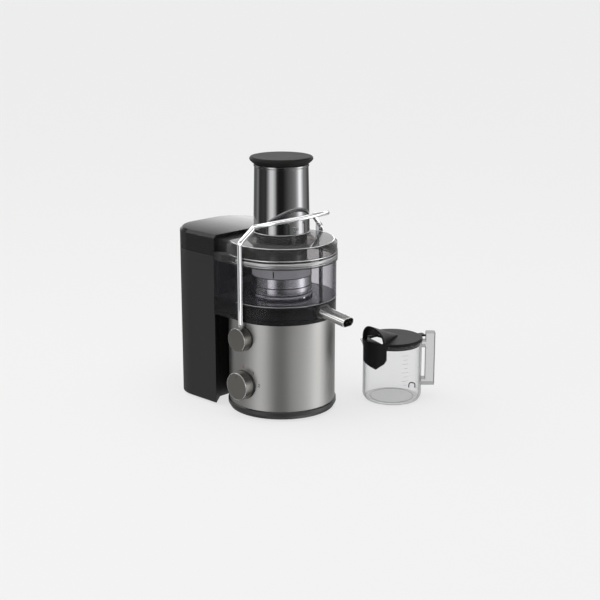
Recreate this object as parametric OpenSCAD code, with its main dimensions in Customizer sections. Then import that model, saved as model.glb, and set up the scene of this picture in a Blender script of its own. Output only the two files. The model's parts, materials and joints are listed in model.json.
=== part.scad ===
/* [Motor housing] */
// Outer radius of the brushed steel sleeve
shell_r = 90.3; // [89.5:0.1:90.5]
// Height of the sleeve's top edge above the table
shell_top = 164.5; // [163:0.5:165]
// Wall of the steel sleeve
shell_wall = 1.2; // [0.8:0.1:1.4]
// Height of the speed dial's axis
dial_z = 56.6; // [55:0.1:58]
// Radius of the speed dial
dial_r = 23.6; // [22:0.1:24]

/* [Bowl, chamber and lid] */
// Outer radius of the juice collector and the clear chamber
bowl_r = 91.8; // [91:0.1:92]
// Wall of every clear moulding
clear_wall = 2.5; // [2:0.1:3]
// Height of the seam between collector and chamber
bowl_top = 195; // [194.5:0.5:196]
// Height of the seam between chamber and lid
lid_seam = 258; // [257:0.5:258]
// Height of the lid's flat top
lid_top = 292; // [291:0.5:293]
// Half width of the pulp channel
channel_half = 89.5; // [88:0.5:90]

/* [Feed tube and pusher] */
// Radius of the feed tube's bore
tube_bore = 40.5; // [40:0.1:41]
// Height of the feed tube's rim
tube_top = 417; // [410:1:420]
// Radius of the pusher's cap
cap_r = 52.8; // [52:0.2:54]
// Height of the pusher's cap
cap_h = 12.8; // [12:0.1:14]

/* [Locking bail] */
// Diameter of the bail's rod
rod_d = 5.8; // [5:0.1:5.8]
// Distance of each bail leg from the middle plane
bail_y = 96.6; // [96.5:0.1:97]
// Height of the bail's pivot axis
pivot_z = 136.5; // [136:0.1:137]
// Radius of the pivot knobs
knob_r = 20; // [19:0.1:21]

/* [Juice spout] */
// Width of the oval spout
spout_w = 26; // [24:0.5:27]
// Height of the oval spout
spout_h = 16; // [15:0.5:17]
// Downward slope of the spout in degrees
spout_tilt = 8.3; // [7.5:0.1:9]

/* [Pulp container] */
// Distance of the container's far end from the axis
bin_back = 198; // [196:1:204]
// Half width of the container
bin_half = 84; // [83.5:0.5:85]
// Radius of its two far corners
bin_corner = 58; // [54:1:59]
// Wall of the container
bin_wall = 2.5; // [2:0.1:3]

/* [Jug] */
// Outer radius of the jug
jug_r = 50.8; // [50:0.1:51]
// Height of the jug's rim
jug_h = 106; // [104:0.5:108]
// Jug's place along X
jug_x = 114; // [112:1:116]
// Jug's place along Y
jug_y = 157; // [156:1:160]

/* [Hidden] */
$fn = 96;

eps = 0.05;   // play between pieces of one assembly
run = 0.05;   // radial running clearance of a shaft
free = 0.4;   // gap between pieces that move apart
cut = 1;      // how far a cutter runs past a face

// Base
foot_h = 6;
foot_r = 9;
foot_at = 68;
pan_bottom = 3;
pan_top = 16;
pan_floor = 6;
pan_floor_t = 3;
pan_r = shell_r + 2.2;
pan_low_r = shell_r - 1.3;
pan_in_r = 84;
base_screw_at = 77;
screw_r = 1.75;
screw_head_r = 3.5;

// Housing
liner_r = shell_r - shell_wall - 0.1;
liner_wall = 2.6;
liner_in = liner_r - liner_wall;
liner_top = shell_top - 14.5;
boss_r = 5;
deck_t = 4.3;
deck_z = shell_top - deck_t - 0.1;
deck_screw_at = 76;
boss_rib = 12;
rib_w = 6;
seal_r = 10;
inlet_z = 28;
inlet_r = 9;
inlet_hole_r = 3.6;

// Motor
shaft_r = 4;
shaft_bottom = 27;
shaft_top = 178;
bearing_r = 11;
bearing_h = 9;
low_bearing_z = 34;
top_bearing_z = 140;
bracket_r = 52;
bracket_t = 4;
low_bracket_z = 29;
top_bracket_z = 134;
hub_boss_r = 15;
stator_z = 66;
stator_h = 42;
stator_r = 50;
stator_side = 84;
stator_bore = 23.6;
rotor_r = 22.8;
coil_in = 25;
coil_out = 35;
coil_end = 8;
bolt_at = 44.5;
bolt_r = 2.4;
commutator_r = 12;
commutator_z = 117;
commutator_h = 13;
fan_r = 38;
fan_z = 45.5;
fan_h = 10;
mount_r = 7;
mount_h = 10;

// Spinning basket
hub_z = 182;
hub_t = 3;
basket_out_r = 50;
cone_low_r = 39.8;
cone_top_r = 47.5;
cone_wall = 0.8;
frame_in_r = 48.4;
ring_low_h = 7;
frame_z = 204;
frame_step_z = 216;
rim_z = 232;
rim_top = 250;
coupling_z = 168.5;
coupling_h = 13;
coupling_lobes = 6;
socket_r = 15.5;
collar_in = 17.6;
collar_out = 20;
skirt_in = 22.5;
skirt_out = 24;
grater_r = 39;
grater_t = 1;

// Bowl and chamber
bowl_z = shell_top + 0.1;
bowl_floor = 170;
channel_end = 72;
mouth_end = 95.5;
mouth_half = 54;
chamber_hole_r = 54;
seal_h = 2;

// Lid
lid_r = bowl_r + 0.8;
lid_shift = 0.8;
lid_band_z = 274;
lid_band = 0.8;
lid_bevel = 5;
cover_gap = 0.3;
bin_top = 262;
cover_z = bin_top + cover_gap;
cover_top = lid_top + 6;
cover_bevel = 5.3;
cover_front = 76;
bridge_half = 76;
bridge_top = lid_top - 0.7;
shelf_top = lid_seam + 13;
neck_r = 62;
neck_top = lid_top + 12.5;
tube_out = 42.9;
tube_base_r = 47.1;
tube_top_r = 45;
tube_end = 218;
tube_lip = 4;
catch_x = 56;
catch_y = 28;
catch_w = 6;
catch_t = 3;
catch_h = 30;
hook_reach = 9;
hook_t = 4;

// Pusher
pusher_r = tube_bore - 0.5;
pusher_wall = 2.2;
pusher_bottom = 221;

// Bail
rod_r = rod_d / 2;
knob_back = 91;
knob_front = 106.9;
knob_cap_r = 18.4;
knob_cap_t = 2;
pin_r = 4;
pin_head_r = 8;
bail_corner_z = 297.2;
bail_in_x = 6.3;
bail_in_y = 70;
bail_in_z = 321.4;
bail_run = 4;
bail_rise = 20.5;
bail_bend = 9;
bail_in_bend = 5;
groove_r = 11;
groove_half = 2.8;
groove_depth = 2.6;
plunger_r = 2;
rod_end_z = pivot_z + 15;

// Dial and switch
dial_back = 91.2;
dial_front = 107.9;
dial_shaft_r = 3;
switch_half = 16;
switch_front = 84;
switch_back = 66;
interlock_front = 78;

// Control board
board_at = 76;
board_z = 58;
board_half = 26;
board_t = 1.6;
board_h = 50;
relay_y = -20;
relay_size = [11, 14, 16];
part_y = 14;
capacitor_r = 6;
capacitor_h = 15;
clip_half = 22;
stud_half = 20;
stud_h = 6;
stud_r = 2;

// Spout
spout_mouth_x = 151;
spout_mouth_z = 175;
spout_len = 66;
spout_wall = 1;
spout_collar_rim = 3.5;

// Pulp container
bin_z = 4;
bin_front = 97;
wing_y = 28;
notch_half = 52;
notch_z = 208;

// Small sizes of the base, the motor, the basket and the dial
pan_flare_h = 6;
pan_round = 1.2;
vents = 24;
vent_at = 30;
vent_w = 3.2;
vent_len = 20;
base_screw_len = 19;
wall_from = 70;
wall_to = 100;
low_boss_h = 17;
rib_h = 9;
top_boss_h = 20;
screw_hole_h = 30;
screw_depth = 16;
deck_pocket = 10;
head_sink = 0.6;
deck_screw_len = 24;
window_at = 28;
bracket_window_r = 9;
holder_len = 22;
holder_w = 10;
brush_len = 18;
brush_w = 7;
brush_h = 8;
rotor_slot = 8;
rotor_slots = 12;
segments = 24;
fan_hub_r = 9;
fan_t = 1.6;
blades = 12;
shaft_bevel = 0.6;
coupling_core_r = 9.5;
lobe_r = 2.5;
frame_ribs = 8;
frame_rib_w = 4;
dial_bevel = 1.5;
dial_rim = 4;
dial_hollow = 1.2;
mark_w = 1.2;
mark_at = 12;
mark_len = 8;
mark_depth = 0.6;
clip_w = 6;
spout_block = 60;

// Jug
jug_wall = 2.2;
jug_floor = 3;
jug_foot_r = 39;
jug_foot_w = 2;
jug_foot_h = 3;
jug_round = 10;
grip_angle = 44;
grip_in = 57.2;
grip_out = 73.2;
grip_w = 20;
grip_round = 3.5;
grip_low = 26;
grip_top = 119;
arm_h = 10;
arm_top = jug_h - 2;
arm_root = 4;

// Jug cover
jug_lid_r = 51.8;
jug_lid_z = jug_h + 0.3;
jug_lid_t = 4.2;
jug_lid_bevel = 1.2;
plug_r = 48.1;
plug_wall = 1.8;
plug_h = 8;
tab_angle = 66;
tab_reach = 60.5;
tab_w = 13;
tab_t = 3;
lid_opening = [[11, -27], [33, -30], [46.5, 20], [30, 14], [12, 6]];
hood_angle = -94;
hood_back = 11.4;
hood_tip_r = 1.5;
hood_r = 28.5;
hood_len = 65;
hood_in_at = 8;
hood_in_r = 1;
hood_wall = 2.2;
window_x = 15;
window_len = 26;
window_h = 5.5;
apron_r = jug_lid_r + eps;
apron_wall = 2.2;
apron_rise = 0.6;
apron_edge = [[-28.5, -2], [-23, -9], [-22, -36], [-18, -39], [11.5, -46], [25, -35], [28.5, -28]];

// A straight tube standing on z
module tube(outer, inner, z, h) {
    translate([0, 0, z]) difference() {
        cylinder(r = outer, h = h);
        translate([0, 0, -cut]) cylinder(r = inner, h = h + 2 * cut);
    }
}

// Copies of a piece set evenly round the axis
module around(n, at, start = 0) {
    for (i = [0:n - 1]) rotate(start + i * 360 / n) translate([at, 0, 0]) children();
}

// A cylinder along Y between two distances towards the front, at a height
module toward_front(r, from, to, z, x = 0) {
    translate([x, -from, z]) rotate([90, 0, 0]) cylinder(r = r, h = to - from);
}

// A flat oval, wide along Y
module oval(w, h) {
    square([h, w - h], center = true);
    for (s = [-1, 1]) translate([0, s * (w - h) / 2]) circle(d = h);
}

// A prism of the oval along the spout's axis, measured back from its mouth
module spout_prism(w, h, from, length) {
    translate([spout_mouth_x, 0, spout_mouth_z]) rotate([0, 90 + spout_tilt, 0])
        translate([0, 0, -from - length]) linear_extrude(length) oval(w, h);
}

// Plan of the bowl: a circle with a square shoulder towards the container
module bowl_plan(t = 0) {
    circle(bowl_r - t);
    translate([t - channel_end, t - channel_half]) square([channel_end, 2 * (channel_half - t)]);
}

// Plan of the container and of its cover, straight at the front
module cover_plan(t = 0) {
    straight = bin_half - bin_corner;
    for (s = [-1, 1]) translate([bin_corner - bin_back, s * straight]) circle(bin_corner - t);
    translate([t - bin_back, -straight]) square([bin_corner, 2 * straight]);
    translate([bin_corner - bin_back, t - bin_half])
        square([bin_back - bin_corner - cover_front - t, 2 * (bin_half - t)]);
}

// Plan of the container, cut back where it wraps round the motor housing
module bin_plan(t = 0) {
    difference() {
        cover_plan(t);
        polygon([
            [cut - cover_front, -bin_half - cut], [-cover_front - 2 * t, t - bin_half],
            [-bin_front - t, wing_y - bin_half - t / 3], [-bin_front - t, bin_half - wing_y + t / 3],
            [-cover_front - 2 * t, bin_half - t], [cut - cover_front, bin_half + cut]
        ]);
    }
}

module base_pan() {
    color("#1c1c1c") difference() {
        union() {
            rotate_extrude() polygon([
                [pan_in_r, pan_bottom], [pan_low_r, pan_bottom], [pan_r, pan_bottom + pan_flare_h],
                [pan_r, pan_top - pan_round], [pan_r - pan_round, pan_top], [pan_in_r, pan_top]
            ]);
            translate([0, 0, pan_floor]) cylinder(r = pan_in_r + 1, h = pan_floor_t);
        }
        around(vents, vent_at) translate([0, -vent_w / 2, pan_floor - cut])
            cube([vent_len, vent_w, pan_floor_t + 2 * cut]);
        around(4, base_screw_at) translate([0, 0, pan_floor - cut])
            cylinder(r = screw_r + 0.2, h = pan_floor_t + 2 * cut);
    }
}

module feet() {
    color("#262626") around(4, foot_at, 45) cylinder(r1 = foot_r - 1, r2 = foot_r, h = foot_h);
}

module screw(z, length) {
    translate([0, 0, z]) cylinder(r = screw_head_r, h = 2);
    translate([0, 0, z + 1]) cylinder(r = screw_r, h = length);
}

module base_screws() {
    color("silver") around(4, base_screw_at) screw(pan_floor - 2, base_screw_len);
}

// Every hole that both housing walls share, drilled outwards from the inside
module wall_holes(pivot, shaft, plunger) {
    toward_front(shaft, wall_from, wall_to, dial_z);
    toward_front(plunger, wall_from, wall_to, pivot_z, groove_r);
    for (s = [0, 1]) mirror([0, s, 0]) toward_front(pivot, wall_from, wall_to, pivot_z);
    mirror([0, 1, 0]) toward_front(inlet_r - 2, wall_from, wall_to, inlet_z);
}

module metal_shell() {
    color("#a9a9a6") difference() {
        tube(shell_r, shell_r - shell_wall, pan_top, shell_top - pan_top);
        wall_holes(pin_r + 0.2, dial_shaft_r + 1, plunger_r + 0.4);
    }
}

module inner_housing() {
    color("#2b2b2b") difference() {
        union() {
            tube(liner_r, liner_in, pan_top, liner_top - pan_top);
            around(4, base_screw_at) {
                translate([0, 0, pan_floor + pan_floor_t]) cylinder(r = boss_r, h = low_boss_h);
                translate([0, -rib_w / 2, pan_top + 1])
                    cube([liner_in + 1 - base_screw_at, rib_w, rib_h]);
            }
            around(4, deck_screw_at, 45) {
                translate([0, 0, liner_top - top_boss_h]) cylinder(r = boss_r, h = top_boss_h);
                translate([0, -rib_w / 2, liner_top - top_boss_h])
                cube([liner_in + 1 - deck_screw_at, rib_w, top_boss_h]);
            }
            toward_front(boss_r, interlock_front + 1, liner_in + 1, pivot_z, groove_r);
        }
        around(4, base_screw_at) translate([0, 0, pan_floor])
            cylinder(r = screw_r + eps, h = screw_hole_h);
        around(4, deck_screw_at, 45) translate([0, 0, liner_top - screw_depth])
            cylinder(r = screw_r + eps, h = screw_hole_h);
        wall_holes(pin_r + eps, dial_shaft_r + run, plunger_r + run);
    }
}

module top_deck() {
    mount_top = top_bracket_z + bracket_t + mount_h;
    color("#303030") difference() {
        union() {
            translate([0, 0, deck_z]) cylinder(r = liner_r, h = deck_t);
            tube(liner_in - 0.1, liner_in - 2.1, liner_top - 6, deck_z - liner_top + 7);
            tube(liner_r, liner_in - 2, liner_top + eps, deck_z - liner_top + cut);
            around(4, bolt_at, 45) translate([0, 0, mount_top])
                cylinder(r = mount_r, h = deck_z - mount_top + cut);
            translate([0, 0, deck_z - 4]) cylinder(r = seal_r + 6, h = 5);
        }
        translate([0, 0, deck_z - 2]) cylinder(r = seal_r + eps, h = 20);
        translate([0, 0, deck_z - 20]) cylinder(r = shaft_r + 2, h = 40);
        around(4, deck_screw_at, 45) {
            translate([0, 0, liner_top - deck_pocket]) cylinder(r = screw_r + 0.2, h = screw_hole_h);
            translate([0, 0, shell_top - 2.6]) cylinder(r = screw_head_r + 0.5, h = 5);
            translate([0, 0, liner_top - deck_pocket]) cylinder(r = boss_r + 0.2, h = deck_pocket);
            translate([0, -rib_w / 2 - 0.2, liner_top - deck_pocket])
                cube([boss_rib, rib_w + 0.4, deck_pocket]);
        }
    }
}

module deck_screws() {
    color("silver") around(4, deck_screw_at, 45)
        translate([0, 0, 2 * (shell_top - head_sink)]) mirror([0, 0, 1])
            screw(shell_top - head_sink, deck_screw_len);
}

module shaft_seal() {
    color("#3a3a3a") tube(seal_r, shaft_r + run, deck_z - 2, 7);
}

// A bracket plate with a bearing seat, four bolt holes and air windows
module bracket(z, boss_h, seat_z) {
    difference() {
        union() {
            translate([0, 0, z]) linear_extrude(bracket_t) intersection() {
                circle(bracket_r);
                square(stator_side, center = true);
            }
            translate([0, 0, z]) cylinder(r = hub_boss_r, h = boss_h);
        }
        translate([0, 0, seat_z]) cylinder(r = bearing_r + eps, h = bearing_h + 10);
        translate([0, 0, z - cut]) cylinder(r = shaft_r + 2, h = boss_h + 2 * cut);
        around(4, window_at) translate([0, 0, z - cut])
            cylinder(r = bracket_window_r, h = bracket_t + 2 * cut);
        around(4, bolt_at, 45) translate([0, 0, z - cut])
            cylinder(r = bolt_r + 0.1, h = bracket_t + 2 * cut);
    }
}

module motor_top_bracket() {
    color("#8d9093") bracket(top_bracket_z, 15, top_bearing_z);
}

module motor_bottom_bracket() {
    color("#8d9093") bracket(low_bracket_z, 14, low_bearing_z);
}

module motor_bolts() {
    top = top_bracket_z + bracket_t;
    color("silver") around(4, bolt_at, 45) {
        translate([0, 0, low_bracket_z - 3]) cylinder(r = 4.5, h = 3);
        translate([0, 0, low_bracket_z - 1]) cylinder(r = bolt_r, h = top - low_bracket_z + 3);
        translate([0, 0, top]) cylinder(r = 4, h = 2.5, $fn = 6);
    }
}

module motor_mounts() {
    color("#222222") around(4, bolt_at, 45) difference() {
        translate([0, 0, top_bracket_z + bracket_t]) cylinder(r = mount_r - 1, h = mount_h);
        translate([0, 0, top_bracket_z + bracket_t - cut]) cylinder(r = 4.6, h = 4);
    }
}

// Plan of the space for a field coil on the two sides between the poles
module coil_plan(inner, outer, spread) {
    reach = 2 * outer;
    intersection() {
        difference() {
            circle(outer);
            circle(inner);
        }
        for (s = [-1, 1]) polygon([
            [0, 0],
            [-reach * sin(spread), s * reach * cos(spread)],
            [reach * sin(spread), s * reach * cos(spread)]
        ]);
    }
}

module stator_core() {
    color("#5d6064") translate([0, 0, stator_z]) linear_extrude(stator_h) difference() {
        intersection() {
            circle(stator_r);
            square(stator_side, center = true);
        }
        circle(stator_bore);
        coil_plan(stator_bore - 1, coil_out + 1, 42);
        for (i = [0:3]) rotate(45 + 90 * i) translate([bolt_at, 0]) circle(bolt_r + 0.1);
    }
}

module field_coils() {
    color("#b4623a") {
        translate([0, 0, stator_z - 0.5]) linear_extrude(stator_h + 1) coil_plan(coil_in, coil_out, 38);
        tube(coil_out, coil_in, stator_z - coil_end - 0.3, coil_end);
        tube(coil_out, coil_in, stator_z + stator_h + 0.3, coil_end);
    }
}

module brush_holders() {
    color("#b08d4a") for (s = [0, 1]) mirror([s, 0, 0]) difference() {
        translate([commutator_r + 2, -holder_w / 2, commutator_z + 1])
            cube([holder_len, holder_w, top_bracket_z - commutator_z - 1]);
        translate([commutator_r, -brush_w / 2, commutator_z + 3]) cube([holder_len, brush_w, brush_h]);
    }
}

module carbon_brushes() {
    color("#2a2a2c") for (s = [0, 1]) mirror([s, 0, 0])
        translate([commutator_r + free, 0.1 - brush_w / 2, commutator_z + 3.1])
            cube([brush_len, brush_w - 0.2, brush_h - 0.2]);
}

module upper_bearing() {
    color("#c8ccd0") tube(bearing_r, shaft_r + run, top_bearing_z + 0.1, bearing_h - 0.2);
}

module lower_bearing() {
    color("#c8ccd0") tube(bearing_r, shaft_r + run, low_bearing_z + 0.1, bearing_h - 0.2);
}

module rotor_core() {
    color("#6b6e72") translate([0, 0, stator_z]) linear_extrude(stator_h) difference() {
        circle(rotor_r);
        circle(shaft_r + eps);
        for (i = [0:rotor_slots - 1]) rotate(i * 360 / rotor_slots)
            translate([rotor_r - rotor_slot, -1]) square([rotor_slot + 1, 2]);
    }
}

module armature_winding() {
    color("#c0703f") for (z = [stator_z - 6.1, stator_z + stator_h + 0.1])
        tube(rotor_r - 3, shaft_r + 3, z, 6);
}

module commutator() {
    color("#b87945") translate([0, 0, commutator_z]) linear_extrude(commutator_h) difference() {
        circle(commutator_r);
        circle(shaft_r + eps);
        for (i = [0:segments - 1]) rotate(i * 360 / segments)
            translate([commutator_r - 1.5, -0.25]) square([2, 0.5]);
    }
}

module cooling_fan() {
    color("#303236") difference() {
        translate([0, 0, fan_z]) union() {
            cylinder(r = fan_hub_r, h = fan_h);
            cylinder(r = fan_r, h = fan_t);
            around(blades, fan_hub_r - 1) translate([0, -fan_t / 2, 0])
                cube([fan_r - fan_hub_r, fan_t, fan_h]);
        }
        translate([0, 0, fan_z - cut]) cylinder(r = shaft_r + eps, h = fan_h + 2 * cut);
    }
}

module motor_shaft() {
    color("#cfd2d4") translate([0, 0, shaft_bottom]) {
        cylinder(r1 = shaft_r - shaft_bevel, r2 = shaft_r, h = shaft_bevel);
        translate([0, 0, shaft_bevel])
            cylinder(r = shaft_r, h = shaft_top - shaft_bottom - 2 * shaft_bevel);
        translate([0, 0, shaft_top - shaft_bottom - shaft_bevel])
            cylinder(r1 = shaft_r, r2 = shaft_r - shaft_bevel, h = shaft_bevel);
    }
}

// Outline of the lobed drive, grown by t for its socket
module lobes(t = 0) {
    circle(coupling_core_r + t);
    for (i = [0:coupling_lobes - 1]) rotate(i * 360 / coupling_lobes)
        translate([coupling_core_r, 0]) circle(lobe_r + t);
}

module drive_coupling() {
    color("#3c3f42") difference() {
        translate([0, 0, coupling_z]) linear_extrude(coupling_h) lobes();
        translate([0, 0, coupling_z - cut])
            cylinder(r = shaft_r + eps, h = shaft_top - coupling_z + cut + eps);
    }
}

module basket_hub() {
    color("#2f2f31") difference() {
        union() {
            translate([0, 0, coupling_z + 2]) cylinder(r = socket_r, h = hub_z - coupling_z - 1);
            translate([0, 0, hub_z]) cylinder(r = basket_out_r, h = hub_t);
            tube(skirt_out, skirt_in, hub_z - 7, 8);
            translate([0, 0, hub_z + hub_t - cut]) cylinder(r1 = 12.6, r2 = 9.5, h = 6 + cut);
        }
        translate([0, 0, coupling_z]) linear_extrude(coupling_h + 0.3) lobes(0.1);
    }
}

module filter_basket() {
    z = hub_z + hub_t + eps;
    color("#c9c9c9") rotate_extrude() polygon([
        [cone_low_r, z], [cone_low_r + cone_wall, z], [cone_top_r + cone_wall, rim_z], [cone_top_r, rim_z]
    ]);
}

module basket_frame() {
    low = hub_z + hub_t + eps;
    color("#b9bbbd") {
        tube(basket_out_r, frame_in_r, low, ring_low_h);
        tube(basket_out_r + 1, frame_in_r, frame_z, frame_step_z - frame_z - 1);
        tube(basket_out_r, frame_in_r, frame_step_z - 2, rim_z - frame_step_z + 2 - eps);
        around(frame_ribs, frame_in_r) translate([0, -frame_rib_w / 2, low + ring_low_h - 1])
            cube([basket_out_r - frame_in_r - 0.1, frame_rib_w, frame_z - low - ring_low_h + 2]);
    }
}

module basket_rim() {
    color("#d8dcdf") rotate_extrude() polygon([
        [cone_top_r, rim_z + eps], [basket_out_r + 0.4, rim_z + eps], [basket_out_r + 0.4, rim_top - 2],
        [basket_out_r + 1.4, rim_top], [cone_top_r + 0.6, rim_top]
    ]);
}

module grater_disc() {
    z = hub_z + hub_t + eps;
    color("#c4c6c8") {
        tube(grater_r, 12.8, z, grater_t);
        for (ring = [0:3]) around(8 + 4 * ring, 17 + 6 * ring, 9 * ring)
            translate([0, 0, z + grater_t - eps]) cylinder(r1 = 1.3, r2 = 0.5, h = 1.4);
    }
}

module rotary_switch() {
    color("#3d4a3f") difference() {
        translate([-switch_half, -switch_front, dial_z - switch_half])
            cube([2 * switch_half, switch_front - switch_back, 2 * switch_half]);
        toward_front(dial_shaft_r + run, switch_back + 5, switch_front + cut, dial_z);
    }
}

module dial_shaft() {
    color("#b8b8b0") toward_front(dial_shaft_r, switch_back + 6, dial_back + 7, dial_z);
}

module speed_dial() {
    color("#6a6763") difference() {
        union() {
            toward_front(dial_r, dial_back, dial_front - dial_bevel, dial_z);
            translate([0, dial_bevel - dial_front, dial_z]) rotate([90, 0, 0])
                cylinder(r1 = dial_r, r2 = dial_r - dial_bevel, h = dial_bevel);
        }
        toward_front(dial_shaft_r + eps, dial_back - cut, dial_back + 8, dial_z);
        toward_front(dial_r - dial_rim, dial_back - cut, dial_back + dial_hollow, dial_z);
        translate([-mark_w / 2, -dial_front - cut, dial_z + mark_at])
            cube([mark_w, cut + mark_depth, mark_len]);
    }
}

// A flat-faced ring that fits the round sleeve behind a knob
module bezel(r, hole, z, front) {
    difference() {
        toward_front(r, shell_r - 6, front, z);
        cylinder(r = shell_r + eps, h = shell_top, $fn = 192);
        toward_front(hole, shell_r - 9, front + cut, z);
    }
}

module dial_bezel() {
    color("#161616") bezel(dial_r + 0.8, dial_shaft_r + 1, dial_z, dial_back - 0.3);
}

module control_board() {
    color("#2f5a3c") translate([-board_at, 0, board_z]) {
        translate([0, -board_half, 0]) cube([board_t, 2 * board_half, board_h]);
        translate([board_t - eps, relay_y, capacitor_r]) cube(relay_size);
        for (row = [0, 1]) translate([board_t - eps, part_y, board_h - (2 + 3 * row) * capacitor_r])
            rotate([0, 90, 0]) cylinder(r = capacitor_r - row, h = capacitor_h - 3 * row);
        for (s = [-1, 1]) translate([cut, s * clip_half - clip_w / 2, -3]) cube([3, clip_w, 4]);
        for (s = [-1, 1], z = [2 * stud_r, board_h - 2 * stud_r])
            translate([board_t - stud_h - cut, s * stud_half, z]) rotate([0, 90, 0])
                cylinder(r = stud_r, h = stud_h);
    }
}

module cord_inlet() {
    color("#1a1a1a") mirror([0, 1, 0]) difference() {
        union() {
            toward_front(inlet_r - 2 - eps, liner_in - 3, shell_r + 1, inlet_z);
            toward_front(inlet_r, shell_r + eps, shell_r + 3, inlet_z);
        }
        toward_front(inlet_hole_r, liner_in - 4, shell_r + 4, inlet_z);
    }
}

module pivot_pins() {
    color("#9da0a3") for (s = [0, 1]) mirror([0, s, 0]) {
        toward_front(pin_r, liner_in - 3, knob_back + 11, pivot_z);
        toward_front(pin_r + 1.5, liner_in - 4.5, liner_in - 0.9, pivot_z);
        toward_front(pin_head_r - 1.5, knob_back + 10.5, knob_back + 12, pivot_z);
    }
}

module pivot_bezels() {
    color("#161616") for (s = [0, 1]) mirror([0, s, 0]) difference() {
        bezel(knob_r + 0.6, pin_r + eps, pivot_z, knob_back - 0.3);
        toward_front(plunger_r + 0.4, shell_r - 9, knob_back + cut, pivot_z, groove_r);
    }
}

// A pivot knob on the front side, open at its face for the cap and at its top for the rod
module pivot_knob() {
    floor_y = knob_front - knob_cap_t;
    color("#6a6763") difference() {
        union() {
            toward_front(knob_r, knob_back, knob_front - 1, pivot_z);
            translate([0, 1 - knob_front, pivot_z]) rotate([90, 0, 0])
                cylinder(r1 = knob_r, r2 = knob_r - 0.8, h = 1);
        }
        toward_front(knob_cap_r + eps, floor_y, knob_front + cut, pivot_z);
        toward_front(pin_r + run, knob_back - cut, knob_front, pivot_z);
        toward_front(pin_head_r, knob_back + 10, knob_front, pivot_z);
        difference() {
            toward_front(groove_r + groove_half, knob_back - cut, knob_back + groove_depth, pivot_z);
            toward_front(groove_r - groove_half, knob_back - 2 * cut, knob_back + 2 * groove_depth, pivot_z);
        }
        translate([0, -bail_y, rod_end_z - eps]) cylinder(r = rod_r + eps, h = knob_r);
    }
}

module front_pivot_knob() {
    pivot_knob();
}

module rear_pivot_knob() {
    mirror([0, 1, 0]) pivot_knob();
}

module knob_caps() {
    color("#726f6a") for (s = [0, 1]) mirror([0, s, 0])
        toward_front(knob_cap_r, knob_front - knob_cap_t + eps, knob_front, pivot_z);
}

// Points of a bend of radius r where a path from a by way of b turns towards c
function bend(a, b, c, r, steps) =
    let (
        u = (a - b) / norm(a - b), v = (c - b) / norm(c - b),
        half = acos(u * v) / 2, m = (u + v) / norm(u + v),
        centre = b + m * r / sin(half), t = b + u * r / tan(half),
        x = (t - centre) / r, y = -u, turn = 180 - 2 * half
    ) [for (i = [0:steps]) centre + r * (x * cos(turn * i / steps) + y * sin(turn * i / steps))];

// Ring of points round a path at one of its points, square to its direction
function path_ring(path, i, r, sides) =
    let (
        a = path[max(i - 1, 0)], b = path[min(i + 1, len(path) - 1)],
        d = (b - a) / norm(b - a), side = cross(d, [1, 0.2, 0.1]),
        u = side / norm(side), v = cross(d, u)
    ) [for (k = [0:sides - 1]) path[i] + r * (u * cos(k * 360 / sides) + v * sin(k * 360 / sides))];

// A closed tube of equal rings along a path
module sweep(path, r, sides) {
    n = len(path);
    polyhedron(
        points = [for (i = [0:n - 1]) each path_ring(path, i, r, sides)],
        faces = concat(
            [[for (k = [0:sides - 1]) k]],
            [for (i = [0:n - 2], k = [0:sides - 1]) let (q = (k + 1) % sides)
                [i * sides + k, (i + 1) * sides + k, (i + 1) * sides + q, i * sides + q]],
            [[for (k = [sides - 1:-1:0]) (n - 1) * sides + k]]
        )
    );
}

module bail_rod() {
    foot = [0, -bail_y, rod_end_z];
    corner = [0, -bail_y, bail_corner_z];
    inward = [bail_in_x, -bail_in_y, bail_in_z];
    slope = atan2(bail_rise, bail_run + bail_in_y);
    along = [cos(slope), 0, sin(slope)];
    start = inward + bail_run * along;
    side = concat(
        [foot], bend(foot, corner, inward, bail_bend, 8), bend(corner, inward, start, bail_in_bend, 8)
    );
    arc = [for (i = [0:32]) start + bail_in_y * (along * sin(i * 180 / 32) + [0, 1 - cos(i * 180 / 32), 0])];
    other = [for (i = [len(side) - 1:-1:0]) [side[i][0], -side[i][1], side[i][2]]];
    color("#d5d7d9") sweep(concat(side, arc, other), rod_r, 16);
}

module interlock_switch() {
    y = interlock_front;
    color("#4a4d52") difference() {
        translate([groove_r - 7, -y, pivot_z - 9]) cube([14, 16, 18]);
        toward_front(plunger_r + 0.5, y - 5, y + cut, pivot_z, groove_r);
    }
}

module interlock_plunger() {
    color("#c9562c") {
        toward_front(plunger_r, interlock_front - 2, knob_back + 1.6, pivot_z, groove_r);
    }
}

module juice_collector() {
    color([0.16, 0.16, 0.17, 0.75]) difference() {
        union() {
            difference() {
                translate([0, 0, bowl_z]) linear_extrude(bowl_top - bowl_z) bowl_plan();
                translate([0, 0, bowl_z - cut]) linear_extrude(bowl_floor - bowl_z + cut)
                    bowl_plan(clear_wall);
                translate([0, 0, bowl_floor + clear_wall]) linear_extrude(bowl_top) bowl_plan(clear_wall);
            }
            translate([0, 0, bowl_floor]) cylinder(r = collar_out, h = 10);
        }
        translate([0, 0, bowl_z - cut]) cylinder(r = collar_in, h = 30);
        intersection() {
            spout_prism(spout_w + 2 * eps, spout_h + 2 * eps, 0, 90);
            translate([bowl_r - spout_block / 4, -spout_block / 2, bowl_z])
            cube([spout_block / 2, spout_block, spout_block]);
        }
    }
}

module spout_collar() {
    rim = 2 * spout_collar_rim;
    color("#111111") difference() {
        intersection() {
            spout_prism(spout_w + rim, spout_h + rim - 1, 0, 90);
            translate([bowl_r - 4, -spout_block / 2, bowl_z]) cube([9, spout_block, spout_block]);
        }
        cylinder(r = bowl_r + eps, h = lid_top);
        spout_prism(spout_w + 2 * eps, spout_h + 2 * eps, -1, 95);
    }
}

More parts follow.
